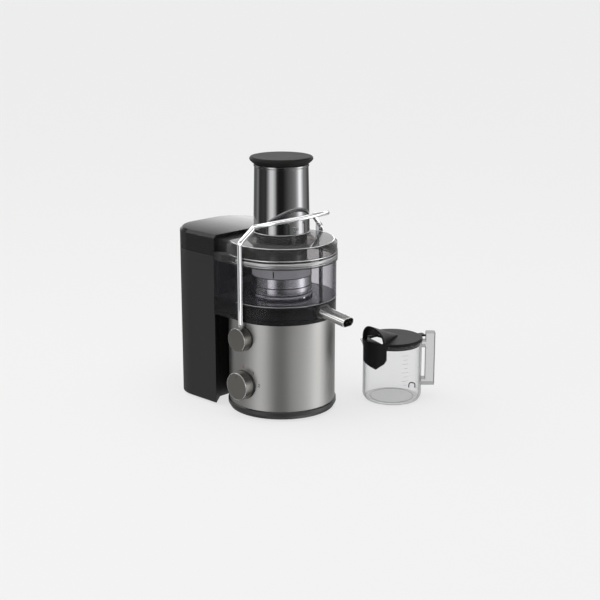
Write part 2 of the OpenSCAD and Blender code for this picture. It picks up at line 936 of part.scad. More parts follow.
module juice_spout() {
    color("#bcbcb8") difference() {
        spout_prism(spout_w, spout_h, 0, spout_len);
        spout_prism(spout_w - 2 * spout_wall, spout_h - 2 * spout_wall, -1, spout_len + 2);
    }
}

module pulp_chamber() {
    inner_half = mouth_half - clear_wall;
    color([0.75, 0.76, 0.78, 0.35]) translate([0, 0, bowl_top + eps]) difference() {
        linear_extrude(lid_seam - bowl_top - 2 * eps) {
            bowl_plan();
            translate([-mouth_end, -mouth_half]) square([mouth_end - 40, 2 * mouth_half]);
        }
        translate([0, 0, clear_wall]) linear_extrude(lid_seam) {
            bowl_plan(clear_wall);
            translate([-mouth_end - cut, -inner_half]) square([mouth_end - 40, 2 * inner_half]);
        }
        translate([0, 0, -cut]) cylinder(r = chamber_hole_r, h = clear_wall + 2 * cut);
    }
}

// A block on the cover's plan whose three outer edges slope in at the top
module cover_block(t, bottom, top) {
    z = top - cover_bevel;
    far = bin_corner - bin_back;
    straight = bin_half - bin_corner;
    half = bin_half - t;
    translate([0, 0, bottom]) linear_extrude(z - bottom) cover_plan(t);
    for (s = [-1, 1]) translate([far, s * straight, z])
        cylinder(r1 = bin_corner - t, r2 = bin_corner - t - cover_bevel, h = cover_bevel);
    translate([0, straight, 0]) rotate([90, 0, 0]) linear_extrude(2 * straight)
        polygon([[far, z], [t - bin_back, z], [t - bin_back + cover_bevel, top], [far, top]]);
    translate([far, 0, 0]) rotate([90, 0, 90]) linear_extrude(-far - cover_front - t)
        polygon([[-half, z], [half, z], [half - cover_bevel, top], [cover_bevel - half, top]]);
}

module lid() {
    w = clear_wall;
    color([0.3, 0.3, 0.32, 0.6]) difference() {
        union() {
            translate([lid_shift, 0, 0]) rotate_extrude() polygon([
                [0, lid_seam], [lid_r + lid_band, lid_seam], [lid_r + lid_band, lid_band_z - 1],
                [lid_r, lid_band_z], [lid_r, lid_top - lid_bevel], [lid_r - lid_bevel, lid_top], [0, lid_top]
            ]);
            translate([0, 0, lid_top - 2 * cut])
                cylinder(r1 = neck_r, r2 = tube_base_r, h = neck_top - lid_top + 2 * cut);
            cover_block(0, cover_z, cover_top);
            translate([-cover_front - 4, -bridge_half, lid_seam])
                cube([cover_front, 2 * bridge_half, bridge_top - lid_seam]);
            translate([-channel_end, -channel_half, lid_seam])
                cube([channel_end, 2 * channel_half, shelf_top - lid_seam]);
        }
        translate([lid_shift, 0, 0]) rotate_extrude() polygon([
            [0, lid_seam - cut], [lid_r - w, lid_seam - cut], [lid_r - w, lid_top - lid_bevel - 1],
            [lid_r - lid_bevel - 1, lid_top - w], [0, lid_top - w]
        ]);
        cover_block(w, cover_z - 20, cover_top - w);
        translate([-cover_front - 20, w - bridge_half, lid_seam - cut])
            cube([cover_front, 2 * (bridge_half - w), bridge_top - lid_seam - w + cut]);
        translate([w - channel_end, w - channel_half, lid_seam - cut])
            cube([channel_end, 2 * (channel_half - w), shelf_top - lid_seam - w + cut]);
        translate([-cover_front - 30, -bin_half - cut, lid_seam - cut])
            cube([cover_front + 30 - channel_end, 2 * (bin_half + cut), cover_z - lid_seam + cut]);
        translate([0, 0, lid_seam]) cylinder(r = tube_out + eps, h = 60);
    }
}

module lid_catch() {
    color([0.8, 0.81, 0.83, 0.4]) for (s = [-1, 1]) translate([catch_x, s * catch_y, 0]) {
        translate([-catch_t / 2, -catch_w / 2, lid_top]) cube([catch_t, catch_w, catch_h]);
        translate([-catch_t / 2, -catch_w / 2, lid_top + catch_h - hook_t])
            cube([hook_reach, catch_w, hook_t]);
    }
}

module lid_seal() {
    color("#8a8c8e") translate([lid_shift, 0, lid_seam + 6]) rotate(-95) rotate_extrude(angle = 190)
        translate([lid_r - clear_wall - 2, 0]) square([2 - eps, seal_h]);
}

module feed_tube() {
    color([0.13, 0.13, 0.14, 0.85]) rotate_extrude() polygon([
        [tube_bore, tube_end], [tube_out, tube_end], [tube_out, neck_top], [tube_base_r, neck_top],
        [tube_top_r, tube_top - tube_lip], [tube_top_r + 0.9, tube_top - tube_lip + 1],
        [tube_top_r + 0.9, tube_top], [tube_bore, tube_top]
    ]);
}

module pusher_body() {
    inner = pusher_r - pusher_wall;
    color("#1f1f21") difference() {
        translate([0, 0, pusher_bottom]) cylinder(r = pusher_r, h = tube_top - pusher_bottom + 0.2);
        translate([0, 0, pusher_bottom + 3]) cylinder(r = inner, h = tube_top);
    }
}

module pusher_cap() {
    z = tube_top + 0.2;
    color("#403d3d") rotate_extrude() polygon([
        [0, z + eps], [tube_top_r - 0.4, z + eps], [cap_r - 4, z + 3.4], [cap_r - 0.8, z + 6.6],
        [cap_r, z + 8.6], [cap_r - 0.5, z + 10.8], [cap_r - 1.8, z + cap_h - 0.6],
        [cap_r - 4, z + cap_h], [0, z + cap_h]
    ]);
}

module pulp_container() {
    color("#2c2c2c") difference() {
        translate([0, 0, bin_z]) linear_extrude(bin_top - bin_z) bin_plan();
        translate([0, 0, bin_z + 3]) linear_extrude(bin_top) bin_plan(bin_wall);
        translate([-bin_front - 10, -notch_half, notch_z]) cube([20, 2 * notch_half, bin_top]);
    }
}

module at_jug(angle = 0) {
    translate([jug_x, jug_y, 0]) rotate(angle) children();
}

// Round-bottomed profile of the jug, inset by t
module jug_profile(t, bottom, top) {
    r = jug_r - t;
    round_r = jug_round - t;
    translate([0, bottom]) square([r - round_r, top - bottom]);
    translate([0, bottom + round_r]) square([r, top - bottom - round_r]);
    translate([r - round_r, bottom + round_r]) intersection() {
        circle(round_r);
        translate([0, -round_r]) square(round_r);
    }
}

module jug_body() {
    color([0.85, 0.86, 0.87, 0.35]) at_jug() rotate_extrude() difference() {
        union() {
            jug_profile(0, 1, jug_h);
            translate([jug_foot_r - jug_foot_w, 0]) square([jug_foot_w, jug_foot_h]);
        }
        jug_profile(jug_wall, jug_floor, jug_h + cut);
    }
}

module jug_handle() {
    mid = (grip_in + grip_out) / 2;
    half = [(grip_out - grip_in) / 2 - grip_round, grip_w / 2 - grip_round];
    color([0.85, 0.86, 0.87, 0.4]) at_jug(grip_angle) difference() {
        union() {
            translate([mid, 0, grip_low]) linear_extrude(grip_top - grip_low) {
                for (sx = [-1, 1], sy = [-1, 1]) translate([sx * half[0], sy * half[1]])
                    circle(grip_round);
                square([2 * (half[0] + grip_round), 2 * half[1]], center = true);
                square([2 * half[0], 2 * (half[1] + grip_round)], center = true);
            }
            for (z = [grip_low, arm_top - arm_h]) translate([jug_r - arm_root, -grip_w / 2, z])
                cube([mid - jug_r + arm_root, grip_w, arm_h]);
        }
        cylinder(r = jug_r + eps, h = grip_top);
    }
}

module jug_lid() {
    bevel_z = jug_lid_z + jug_lid_t - jug_lid_bevel;
    color("#1e1e1f") at_jug() difference() {
        union() {
            translate([0, 0, jug_lid_z]) cylinder(r = jug_lid_r, h = bevel_z - jug_lid_z);
            translate([0, 0, bevel_z - eps])
                cylinder(r1 = jug_lid_r, r2 = jug_lid_r - 2 * jug_lid_bevel, h = jug_lid_bevel + eps);
            tube(plug_r, plug_r - plug_wall, jug_lid_z - plug_h, plug_h + cut);
            rotate(tab_angle) translate([plug_r, -tab_w / 2, jug_lid_z])
                cube([tab_reach - plug_r, tab_w, tab_t]);
        }
        rotate(hood_angle) translate([0, 0, jug_lid_z - plug_h - cut])
            linear_extrude(plug_h + jug_lid_t + 2 * cut) polygon(lid_opening);
    }
}

// A cone lying along X with its axis in the cover's top face
module lying_cone(from, low_r, high_r, length) {
    translate([from, 0, jug_lid_z + jug_lid_t]) rotate([0, 90, 0])
        cylinder(r1 = low_r, r2 = high_r, h = length);
}

module jug_hood() {
    top = jug_lid_z + jug_lid_t;
    outer = apron_r + apron_wall;
    color("#232425") at_jug(hood_angle) {
        difference() {
            intersection() {
                lying_cone(-hood_back, hood_tip_r, hood_r, hood_len);
                translate([-hood_back - cut, -hood_r, top + eps])
                    cube([hood_len + 2 * cut, 2 * hood_r, hood_r]);
                translate([0, 0, top]) cylinder(r = outer, h = 2 * hood_r);
            }
            lying_cone(hood_in_at - hood_back, hood_in_r, hood_r - hood_wall, hood_len - hood_in_at + eps);
            translate([window_x, -hood_r, top - cut]) cube([window_len, hood_r, window_h + cut]);
        }
        intersection() {
            tube(outer, apron_r, top - 2 * hood_r, 2 * hood_r + apron_rise);
            translate([0, 0, top]) rotate([90, 0, 90]) linear_extrude(outer + cut)
                polygon(concat([[-hood_r, apron_rise]], apron_edge, [[hood_r, apron_rise]]));
        }
    }
}

base_pan();
feet();
base_screws();
metal_shell();
inner_housing();
top_deck();
deck_screws();
shaft_seal();
motor_top_bracket();
motor_bottom_bracket();
motor_bolts();
motor_mounts();
stator_core();
field_coils();
brush_holders();
carbon_brushes();
upper_bearing();
lower_bearing();
rotor_core();
armature_winding();
commutator();
cooling_fan();
motor_shaft();
drive_coupling();
basket_hub();
filter_basket();
basket_frame();
basket_rim();
grater_disc();
rotary_switch();
dial_shaft();
speed_dial();
dial_bezel();
control_board();
cord_inlet();
pivot_pins();
pivot_bezels();
front_pivot_knob();
rear_pivot_knob();
knob_caps();
bail_rod();
interlock_switch();
interlock_plunger();
juice_collector();
spout_collar();
juice_spout();
pulp_chamber();
lid();
lid_catch();
lid_seal();
feed_tube();
pusher_body();
pusher_cap();
pulp_container();
jug_body();
jug_handle();
jug_lid();
jug_hood();
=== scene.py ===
import json
import math

import bmesh
import bpy
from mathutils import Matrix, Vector


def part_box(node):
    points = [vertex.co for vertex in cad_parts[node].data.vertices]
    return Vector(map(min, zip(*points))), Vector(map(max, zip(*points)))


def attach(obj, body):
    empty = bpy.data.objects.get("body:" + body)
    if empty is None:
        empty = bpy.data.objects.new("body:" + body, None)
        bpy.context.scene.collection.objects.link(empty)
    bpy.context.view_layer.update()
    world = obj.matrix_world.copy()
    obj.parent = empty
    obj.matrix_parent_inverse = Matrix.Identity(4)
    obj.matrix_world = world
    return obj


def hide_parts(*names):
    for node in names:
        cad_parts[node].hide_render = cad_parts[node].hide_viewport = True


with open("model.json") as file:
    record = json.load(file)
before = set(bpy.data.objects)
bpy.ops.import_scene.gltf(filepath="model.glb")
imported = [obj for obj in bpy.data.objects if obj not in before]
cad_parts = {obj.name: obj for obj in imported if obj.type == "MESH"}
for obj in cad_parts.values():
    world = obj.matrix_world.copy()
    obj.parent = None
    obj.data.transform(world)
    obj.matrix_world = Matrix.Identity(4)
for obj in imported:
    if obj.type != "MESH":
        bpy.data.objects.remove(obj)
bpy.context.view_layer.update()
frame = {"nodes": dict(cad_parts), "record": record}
scene = bpy.context.scene
nodes = frame["nodes"]
slot_of = {s["node"]: s["material_slot"] for s in frame["record"]["subparts"]}

# ---------------------------------------------------------------- camera
AZIMUTH, PITCH, DISTANCE = math.radians(44), math.radians(14.8), 2.19298
RIGHT = Vector((math.cos(AZIMUTH), math.sin(AZIMUTH), 0))
LEVEL = Vector((math.sin(AZIMUTH), -math.cos(AZIMUTH), 0))
BACK = LEVEL * math.cos(PITCH) + Vector((0, 0, math.sin(PITCH)))
TARGET = RIGHT * 0.03072 + Vector((0, 0, 0.18486))

cam_data = bpy.data.cameras.new("camera")
cam_data.lens = 77.81
cam_data.sensor_width = 36
cam_data.clip_start, cam_data.clip_end = 0.05, 200
camera = bpy.data.objects.new("camera", cam_data)
camera.location = TARGET + BACK * DISTANCE
camera.rotation_mode = "QUATERNION"
camera.rotation_quaternion = (-BACK).to_track_quat("-Z", "Y")
scene.collection.objects.link(camera)
scene.camera = camera
scene.view_settings.view_transform = "Standard"
scene.cycles.transparent_max_bounces = 40

PALE = 0.863


# ---------------------------------------------------------------- node helpers
class Tree:
    """Short names for making and joining nodes."""

    def __init__(self, tree):
        self.nodes, self.links = tree.nodes, tree.links

    def add(self, kind, *inputs, **settings):
        node = self.nodes.new(kind)
        for name, value in settings.items():
            setattr(node, name, value)
        for socket, value in inputs:
            self.put(node.inputs[socket], value)
        return node

    def put(self, socket, value):
        if isinstance(value, bpy.types.NodeSocket):
            self.links.new(value, socket)
        else:
            socket.default_value = value

    def math(self, operation, a, b=0.0, c=0.0):
        return self.add(
            "ShaderNodeMath", (0, a), (1, b), (2, c), operation=operation
        ).outputs[0]

    def ramp(self, fac, stops):
        node = self.add("ShaderNodeValToRGB", ("Fac", fac))
        elements = node.color_ramp.elements
        while len(elements) < len(stops):
            elements.new(0.5)
        for element, (at, value) in zip(elements, stops):
            element.position = at
            element.color = (*value, 1) if isinstance(value, tuple) else (value, value, value, 1)
        return node.outputs["Color"]

    def mix(self, fac, a, b, blend="MIX"):
        node = self.add("ShaderNodeMix", data_type="RGBA", blend_type=blend)
        self.put(node.inputs[0], fac)
        self.put(node.inputs[6], a if isinstance(a, bpy.types.NodeSocket) else (*a, 1))
        self.put(node.inputs[7], b if isinstance(b, bpy.types.NodeSocket) else (*b, 1))
        return node.outputs[2]

    def axis(self, name):
        coords = self.add("ShaderNodeTexCoord").outputs["Object"]
        return self.add("ShaderNodeSeparateXYZ", ("Vector", coords)).outputs[name]

    def fade(self, value, start, end):
        """A smooth step of value, from 0 at start to 1 at end."""
        return self.add(
            "ShaderNodeMapRange", ("Value", value), ("From Min", start), ("From Max", end),
            interpolation_type="SMOOTHSTEP",
        ).outputs[0]

    def place(self, scale=(1, 1, 1)):
        coords = self.add("ShaderNodeTexCoord").outputs["Object"]
        return self.add("ShaderNodeMapping", ("Vector", coords), ("Scale", scale)).outputs[0]

    def noise(self, scale=(1, 1, 1), size=1.0, detail=3.0, rough=0.5):
        return self.add(
            "ShaderNodeTexNoise",
            ("Vector", self.place(scale)),
            ("Scale", size),
            ("Detail", detail),
            ("Roughness", rough),
        ).outputs["Fac"]

    def spread(self, fac, low, high):
        return self.add(
            "ShaderNodeMapRange", ("Value", fac), ("To Min", low), ("To Max", high)
        ).outputs[0]

    def bump(self, height, depth, strength=1.0, normal=None):
        node = self.add(
            "ShaderNodeBump", ("Height", height), ("Distance", depth), ("Strength", strength)
        )
        if normal is not None:
            self.put(node.inputs["Normal"], normal)
        return node.outputs[0]

    def rounded(self, radius):
        return self.add("ShaderNodeBevel", ("Radius", radius), samples=6).outputs[0]


def material(name):
    made = bpy.data.materials.new(name)
    made.use_nodes = True
    tree = Tree(made.node_tree)
    shader = made.node_tree.nodes["Principled BSDF"]
    return made, tree, shader


def show(made, tree, node):
    """Makes the node the surface of the material."""
    tree.links.new(node.outputs[0], made.node_tree.nodes["Material Output"].inputs["Surface"])


# ---------------------------------------------------------------- studio
world = bpy.data.worlds.new("studio")
scene.world = world
world.use_nodes = True
w = Tree(world.node_tree)
direction = w.add("ShaderNodeTexCoord").outputs["Generated"]


def along(axis):
    return w.add(
        "ShaderNodeVectorMath", (0, direction), (1, axis), operation="DOT_PRODUCT"
    ).outputs["Value"]


turn = w.math("ARCTAN2", along(RIGHT), along(LEVEL))
around = w.math("MULTIPLY_ADD", turn, 0.5 / math.pi, 0.5)
height = along((0, 0, 1))
BRIGHT = 2.5
# Turn in degrees from the viewer's side, + to the right, and the brightness there
SOFTBOXES = [
    (-180, 0.12), (-150, 0.10), (-132, 0.08), (-114, 0.22), (-102, 0.03), (-76, 0.045), (-66, 0.035),
    (-56, 0.27), (-46, 0.74), (-36, 0.78), (-27, 0.46), (-18, 0.04), (-10, 0.012), (7, 0.012), (16, 0.035),
    (30, 0.085), (50, 0.16), (62, 0.26), (72, 0.58), (80, 1.15), (94, 1.0), (104, 0.28), (122, 0.18),
    (140, 0.05), (180, 0.12),
]
LOW_BOXES = [
    (-180, 0.12), (-150, 0.15), (-110, 0.14), (-90, 0.17), (-74, 0.28), (-62, 0.50), (-52, 0.62), (-44, 0.50),
    (-34, 0.22), (-24, 0.08), (-12, 0.04), (2, 0.04), (10, 0.14), (20, 0.36), (40, 0.42), (60, 0.52),
    (76, 0.72), (88, 0.72), (100, 0.38), (120, 0.16), (150, 0.20), (180, 0.12),
]
sides = w.ramp(around, [(a / 360 + 0.5, v) for a, v in SOFTBOXES])
sides = w.mix(1.0, sides, (BRIGHT, BRIGHT, BRIGHT), "MULTIPLY")
dome = w.ramp(
    height,
    [(0.0, 0.9), (0.18, 0.85), (0.27, 0.6), (0.36, 0.24), (0.46, 0.06), (0.72, 0.08), (0.86, 0.5), (1.0, 0.5)],
)
# A bright patch high on the left
upper_left = w.math(
    "MULTIPLY",
    w.fade(w.math("ABSOLUTE", w.math("ADD", turn, math.radians(108))), 0.55, 0.35),
    w.fade(w.math("ABSOLUTE", w.math("SUBTRACT", height, 0.68)), 0.2, 0.12),
)
dome = w.mix(upper_left, dome, (1.1, 1.1, 1.1))
dome = w.mix(1.0, dome, (BRIGHT, BRIGHT, BRIGHT), "MULTIPLY")
upward = w.ramp(w.math("MULTIPLY_ADD", height, 0.5, 0.5), [(0.50, 0.0), (0.54, 1.0)])
studio = w.mix(upward, sides, dome)
seen = w.add("ShaderNodeLightPath").outputs["Is Camera Ray"]
light = w.mix(seen, studio, (PALE, PALE, PALE))
background = world.node_tree.nodes["Background"]
w.links.new(light, background.inputs["Color"])


def area_light(name, spot, towards, width, length, power):
    data = bpy.data.lights.new(name, "AREA")
    data.shape = "RECTANGLE"
    data.size, data.size_y = width, length
    data.energy = power
    lamp = bpy.data.objects.new(name, data)
    lamp.location = spot
    lamp.rotation_euler = (Vector(towards) - Vector(spot)).to_track_quat("-Z", "Y").to_euler()
    lamp.visible_glossy = False
    scene.collection.objects.link(lamp)


# A low ring of softboxes under the floor, seen only as a reflection in the parts
RING_R, RING_LOW, RING_HIGH, RING_SIDES = 1.45, -0.62, -0.19, 96
rim = [(RING_R * math.cos(k * math.tau / RING_SIDES), RING_R * math.sin(k * math.tau / RING_SIDES))
       for k in range(RING_SIDES)]
ring_mesh = bpy.data.meshes.new("low_ring")
ring_mesh.from_pydata(
    [(x, y, RING_LOW) for x, y in rim] + [(x, y, RING_HIGH) for x, y in rim], [],
    [(k, (k + 1) % RING_SIDES, RING_SIDES + (k + 1) % RING_SIDES, RING_SIDES + k) for k in range(RING_SIDES)],
)
low_ring = bpy.data.objects.new("low_ring", ring_mesh)
scene.collection.objects.link(low_ring)
low_ring.visible_camera = low_ring.visible_diffuse = low_ring.visible_shadow = False
low_ring.visible_transmission = low_ring.visible_volume_scatter = False
ring_glow, t, _ = material("ring_glow")
spot = t.add("ShaderNodeTexCoord").outputs["Object"]
sideways, outward = (
    t.add("ShaderNodeVectorMath", (0, spot), (1, axis), operation="DOT_PRODUCT").outputs["Value"]
    for axis in (RIGHT, LEVEL)
)
turned_by = t.math("MULTIPLY_ADD", t.math("ARCTAN2", sideways, outward), 0.5 / math.pi, 0.5)
colour = t.ramp(turned_by, [(a / 360 + 0.5, v) for a, v in LOW_BOXES])
show(ring_glow, t, t.add("ShaderNodeEmission", ("Color", colour), ("Strength", BRIGHT)))
ring_mesh.materials.append(ring_glow)

area_light("overhead", (0.3, -0.2, 2.4), (0, 0, 0.2), 1.6, 1.6, 14)
area_light("left_key", (-1.0, -2.0, 1.2), (0, 0, 0.2), 0.8, 1.4, 8)


def mesh_object(name, bm, body=None, slot=None, smooth=True, paint=None):
    data = bpy.data.meshes.new(name)
    bmesh.ops.recalc_face_normals(bm, faces=bm.faces)
    bm.to_mesh(data)
    bm.free()
    if smooth:
        data.shade_smooth()
    made = bpy.data.objects.new(name, data)
    scene.collection.objects.link(made)
    if body:
        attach(made, body)
    if slot:
        made.data.materials.append(MATERIALS[paint or slot])
    return made


FLOOR_HALF, FLOOR_SHADE = 60, 0.22
bm = bmesh.new()
bmesh.ops.create_grid(bm, x_segments=12, y_segments=12, size=FLOOR_HALF)
floor = mesh_object("floor", bm, smooth=False)
floor.visible_glossy = False
floor.visible_shadow = False
floor_paint, t, _ = material("floor_paint")
glow = t.add("ShaderNodeEmission", ("Color", (PALE, PALE, PALE, 1)))
matt = t.add("ShaderNodeBsdfDiffuse", ("Color", (0.86, 0.86, 0.86, 1)))
show(floor_paint, t, t.add("ShaderNodeMixShader", (0, FLOOR_SHADE), (1, glow.outputs[0]), (2, matt.outputs[0])))
floor.data.materials.append(floor_paint)

# ---------------------------------------------------------------- materials
MATERIALS = {}


def opaque(name, colour, rough, metal=0.0, grain=900.0, depth=0.00002, vary=0.08, edge=0.0004, coat=0.0,
           shine=0.5, dark_below=None):
    """Moulded plastic or metal with a fine grain, slight colour drift and softly rounded edges.
    dark_below is (low, high): dark up to the height low, and plain from the height high."""
    made, tree, shader = material(name)
    fine = tree.noise((1, 1, 1), grain, 2.0)
    broad = tree.noise((1, 1, 1), 18.0, 4.0)
    dark = tuple(c * (1 - vary) for c in colour)
    pale = tuple(c * (1 + vary) for c in colour)
    shade = tree.mix(tree.math("MULTIPLY_ADD", fine, 0.5, tree.math("MULTIPLY", broad, 0.5)), dark, pale)
    if dark_below:
        shade = tree.mix(tree.fade(tree.axis("Z"), *dark_below), tuple(c * 0.2 for c in colour), shade)
    tree.put(shader.inputs["Base Color"], shade)
    tree.put(shader.inputs["Roughness"], tree.spread(broad, rough * 0.88, rough * 1.12))
    shader.inputs["Metallic"].default_value = metal
    shader.inputs["Coat Weight"].default_value = coat
    shader.inputs["Coat Roughness"].default_value = 0.08
    shader.inputs["Specular IOR Level"].default_value = shine
    rounded = tree.rounded(edge) if edge else None
    tree.put(shader.inputs["Normal"], tree.bump(fine, depth, 1.0, rounded))
    MATERIALS[name] = made


def brushed(name, colour, rough, lines, drift=0.06, depth=0.00001, edge=0.0004):
    """Metal with fine parallel brushing; lines is the texture scale along each axis."""
    made, tree, shader = material(name)
    strokes = tree.noise(lines, 1.0, 4.0, 0.7)
    broad = tree.noise((1, 1, 1), 9.0, 3.0)
    dark = tuple(c * (1 - drift) for c in colour)
    pale = tuple(c * (1 + drift) for c in colour)
    tree.put(shader.inputs["Base Color"], tree.mix(strokes, dark, pale))
    tree.put(
        shader.inputs["Roughness"],
        tree.math("ADD", tree.spread(strokes, rough * 0.85, rough * 1.15), tree.spread(broad, -0.02, 0.02)),
    )
    shader.inputs["Metallic"].default_value = 1.0
    rounded = tree.rounded(edge) if edge else None
    tree.put(shader.inputs["Normal"], tree.bump(strokes, depth, 0.6, rounded))
    MATERIALS[name] = made
    return tree, shader


COVER_FADE, COVER_SHARE, COVER_BODY = 0.024, 0.3, (0.05, 0.05, 0.05)


def see_through(name, tint, edge_tint, body, rough, least, edge_share, sharp=3.0, cover=None):
    """Clear or smoke moulding: tinted light passes, less at the edges, with a glossy skin on top.
    least is the skin's share face on, and edge_share is what the edges add to it.
    cover is (x, tint, bow): behind x the moulding is darker, hazier and looks bowed across."""
    made, tree, shader = material(name)
    haze = tree.noise((1, 1, 1), 30.0, 3.0)
    weight = tree.add("ShaderNodeLayerWeight", ("Blend", 0.5))
    passed_tint = tint
    if cover:
        x, cover_tint, bow = cover
        behind = tree.fade(tree.axis("X"), x, x - COVER_FADE)
        y = tree.axis("Y")
        height = tree.math("MULTIPLY", tree.math("MULTIPLY", y, y), tree.math("MULTIPLY", behind, -bow))
        normal = tree.bump(height, 1.0)
        tree.put(shader.inputs["Normal"], normal)
        tree.put(weight.inputs["Normal"], normal)
        passed_tint = tree.mix(behind, tint, cover_tint)
    facing = weight.outputs["Facing"]
    rim = tree.math("POWER", facing, sharp)
    body_mix = tree.mix(haze, tuple(c * 0.9 for c in body), tuple(c * 1.1 for c in body))
    if cover:
        body_mix = tree.mix(behind, body_mix, COVER_BODY)
    # A polished surface: 4% is mirrored straight on, and all of it at the edge
    mirror = tree.math("MULTIPLY_ADD", tree.math("POWER", facing, 5.0), 0.96, 0.04)
    passed = tree.mix(rim, passed_tint, edge_tint)
    clear = tree.add("ShaderNodeBsdfTransparent", ("Color", passed))
    tree.put(shader.inputs["Base Color"], body_mix)
    shader.inputs["IOR"].default_value = 1.49
    shader.inputs["Specular IOR Level"].default_value = 0.5
    tree.put(shader.inputs["Roughness"], tree.spread(haze, rough * 0.8, rough * 1.3))
    share = tree.math("ADD", tree.math("ADD", mirror, least), tree.math("MULTIPLY", rim, edge_share))
    if cover:
        share = tree.math("MAXIMUM", share, tree.math("MULTIPLY", behind, COVER_SHARE))
    share = tree.math("MINIMUM", share, 1.0)
    show(made, tree, tree.add("ShaderNodeMixShader", (0, share), (1, clear.outputs[0]), (2, shader.outputs[0])))
    MATERIALS[name] = made


opaque("black_plastic", (0.014, 0.014, 0.015), 0.38)
opaque("bin_plastic", (0.011, 0.011, 0.011), 0.5, grain=1400, depth=0.00004, edge=0.0012, shine=0.35)
opaque("rubber", (0.02, 0.02, 0.02), 0.8, grain=1600)
brushed("brushed_steel", (0.345, 0.343, 0.335), 0.36, (6, 6, 2600))
brushed("steel", (0.55, 0.55, 0.56), 0.3, (900, 900, 60))
opaque("cast_aluminium", (0.5, 0.51, 0.52), 0.45, metal=1.0, grain=700, depth=0.00008)
brushed("lamination", (0.25, 0.26, 0.27), 0.45, (3, 3, 1800), drift=0.4, depth=0.0001)
brushed("copper", (0.62, 0.28, 0.14), 0.35, (20, 20, 1400), drift=0.35, depth=0.0002)
opaque("brass", (0.66, 0.5, 0.22), 0.35, metal=1.0)
opaque("carbon", (0.02, 0.02, 0.02), 0.7, grain=2200)
brushed("basket_silver", (0.62, 0.62, 0.63), 0.22, (8, 8, 1500), drift=0.05)
opaque("switch_plastic", (0.05, 0.065, 0.05), 0.5)
brushed("gunmetal", (0.20, 0.195, 0.18), 0.34, (60, 60, 2400), drift=0.10)
opaque("board", (0.02, 0.12, 0.05), 0.35, grain=240, vary=0.3, coat=0.4)
opaque("chrome", (0.90, 0.90, 0.91), 0.06, metal=0.8, grain=300, depth=0.000002, vary=0.01, edge=0)
opaque("plunger_plastic", (0.45, 0.14, 0.05), 0.45)
opaque("pusher_plastic", (0.010, 0.0095, 0.0095), 0.5, grain=1800, depth=0.00003, edge=0.001, shine=0.12)
opaque("tube_smoke", (0.29, 0.29, 0.295), 0.08, metal=1.0, grain=300, depth=0.000002, vary=0.05, edge=0.0006,
       dark_below=(0.292, 0.31))
see_through("basket_clear", (0.8, 0.8, 0.82), (0.5, 0.5, 0.52), (0.42, 0.42, 0.43), 0.12, 0.8, 0.2)
see_through("chamber_clear", (0.89, 0.885, 0.90), (0.25, 0.25, 0.27), (0.10, 0.10, 0.11), 0.03, 0.01, 0.25,
            sharp=5)
see_through("collector_smoke", (0.62, 0.62, 0.64), (0.1, 0.1, 0.1), (0.05, 0.05, 0.052), 0.06, 0.10, 0.3)
see_through("lid_smoke", (0.75, 0.74, 0.735), (0.25, 0.25, 0.25), (0.16, 0.16, 0.16), 0.03, 0.06, 0.25,
            cover=(-0.048, (0.24, 0.24, 0.25), 0.62))
see_through("jug_clear", (0.970, 0.971, 0.973), (0.06, 0.06, 0.065), (0.4, 0.4, 0.4), 0.02, 0.0, 0.1, sharp=7)

# Finishes of the pieces that share a slot with a larger part, and the paints of painted highlight and shadow
# lines
brushed("spout_finish", (0.62, 0.62, 0.61), 0.24, (60, 1800, 1800), drift=0.12)
# Pale metal band inside the lid's rim: a painted highlight
opaque("painted_rim_gleam", (0.33, 0.33, 0.335), 0.2, metal=0.65, vary=0.12)
brushed("skirt_finish", (0.20, 0.20, 0.21), 0.25, (8, 8, 1500), drift=0.05)
# Near black, for dark lines such as seams, print and the hook, and for the painted shadow lines under the lid's
# band and the tube's collar
opaque("dark_line", (0.006, 0.006, 0.006), 0.4, shine=0.2)
# Near-white metal, laid on the lid's edges as painted highlight lines, and on the basket's clips
opaque("bright_metal_and_highlight", (0.82, 0.82, 0.83), 0.16, metal=1.0, grain=500, vary=0.04, edge=0)
# Pale metal, laid as painted highlight rings on the tube's collar, the chamber's foot and the edges of the dial
# and knobs
opaque("soft_highlight", (0.46, 0.46, 0.47), 0.25, metal=0.8, grain=500, vary=0.06, edge=0)
opaque("print_grey", (0.18, 0.18, 0.18), 0.6)
opaque("print_pale", (0.42, 0.42, 0.43), 0.6)
opaque("print_red", (0.40, 0.05, 0.03), 0.6)
see_through("grip_clear", (0.84, 0.84, 0.845), (0.05, 0.05, 0.055), (0.3, 0.3, 0.3), 0.03, 0.03, 0.15, sharp=3)
see_through("catch_clear", (0.80, 0.80, 0.81), (0.08, 0.08, 0.08), (0.3, 0.3, 0.3), 0.05, 0.06, 0.3, sharp=2)
opaque("cover_black", (0.005, 0.005, 0.0055), 0.42, shine=0.12)
t, shader = brushed("sieve", (0.55, 0.55, 0.56), 0.3, (900, 900, 60))
holes = t.add("ShaderNodeTexVoronoi", ("Vector", t.place()), ("Scale", 620), ("Randomness", 0.25), feature="F1")
hole = t.fade(holes.outputs["Distance"], 0.22, 0.30)
plain = shader.inputs["Base Color"].links[0].from_socket
t.put(shader.inputs["Base Color"], t.mix(hole, (0.04, 0.04, 0.04), plain))
# The few parts whose finish isn't the one that their slot names
OWN_FINISH = {
    "juice_spout": "spout_finish", "jug_handle": "grip_clear", "lid_catch": "catch_clear",
    "jug_lid": "cover_black", "jug_hood": "cover_black", "filter_basket": "sieve",
}

for name, node in nodes.items():
    node.data.materials.clear()
    node.data.materials.append(MATERIALS[OWN_FINISH.get(name, slot_of[name])])


# ---------------------------------------------------------------- shapes
MM = 0.001


def loops(bm, rings, closed):
    """Joins rings of vertices, each to the next, and closes or caps the ends."""
    n = len(rings[0])
    pairs = list(zip(rings, rings[1:] + rings[:1])) if closed else list(zip(rings, rings[1:]))
    for a, b in pairs:
        for k in range(n):
            q = (k + 1) % n
            bm.faces.new((a[k], a[q], b[q], b[k]))
    if not closed:
        bm.faces.new(rings[0])
        bm.faces.new(rings[-1][::-1])


